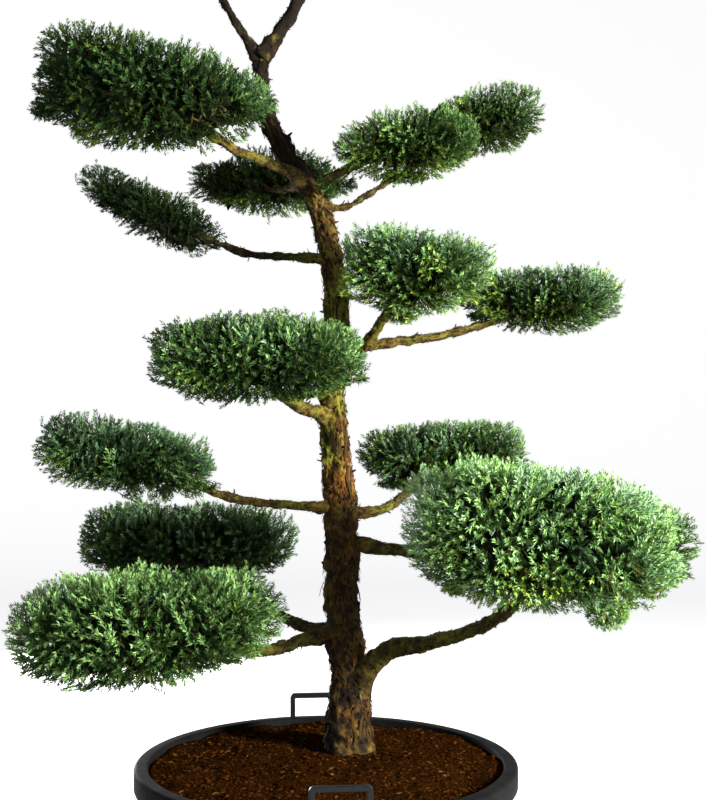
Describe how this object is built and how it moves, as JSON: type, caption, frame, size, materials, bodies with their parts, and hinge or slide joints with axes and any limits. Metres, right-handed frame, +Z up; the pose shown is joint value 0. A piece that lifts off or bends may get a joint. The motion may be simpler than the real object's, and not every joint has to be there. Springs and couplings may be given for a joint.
{
  "type": "potted hetzii chinese juniper",
  "caption": "Cloud-pruned juniper tree with a leaning bare trunk and clipped pads of blue-green needle foliage on spaced boughs, in a round black nursery pot with loop handles.",
  "frame": {"origin": "centre of the pot's flat underside, where it stands on the floor", "axes": "+Z up, -Y towards the viewer of the picture, +X to the right"},
  "size_m": [1.3408, 1.0137, 2.4354],
  "materials": {
    "pot_plastic": "black moulded nursery plastic, faintly scuffed",
    "handle_steel": "black coated square bar",
    "soil": "coarse rust-brown bark and peat mulch",
    "bark": "shaggy, peeling, reddish brown bark with grey-green patches",
    "foliage": "grey-green needle sprays, lighter at the tips"
  },
  "bodies": {
    "root": {"pot": "pot_plastic", "soil": "soil", "handle_front": "handle_steel", "handle_back": "handle_steel", "trunk": "bark", "bough_low_left_front": "bark", "bough_low_left_back": "bark", "bough_low_right_front": "bark", "bough_low_right_back": "bark", "bough_lower_left": "bark", "bough_lower_right_back": "bark", "bough_middle_left_front": "bark", "bough_middle_right_back": "bark", "bough_middle_right_front": "bark", "bough_upper_left_back": "bark", "bough_upper_right_front": "bark", "bough_upper_right_back": "bark", "bough_upper_back": "bark", "bough_high_left_front": "bark", "bough_leader": "bark", "bough_top_left": "bark", "bough_top_right_back": "bark", "mass_low_left_front": "foliage", "mass_low_left_back": "foliage", "mass_low_right_front": "foliage", "mass_low_right_back": "foliage", "mass_lower_left": "foliage", "mass_lower_right_back": "foliage", "mass_middle_left_front": "foliage", "mass_middle_right_back": "foliage", "mass_middle_right_front": "foliage", "mass_upper_left_back": "foliage", "mass_upper_right_front": "foliage", "mass_upper_right_back": "foliage", "mass_upper_back": "foliage", "mass_high_left_front": "foliage", "mass_top_left": "foliage", "mass_leader": "foliage", "mass_top_right_back": "foliage"}
  },
  "joints": []
}
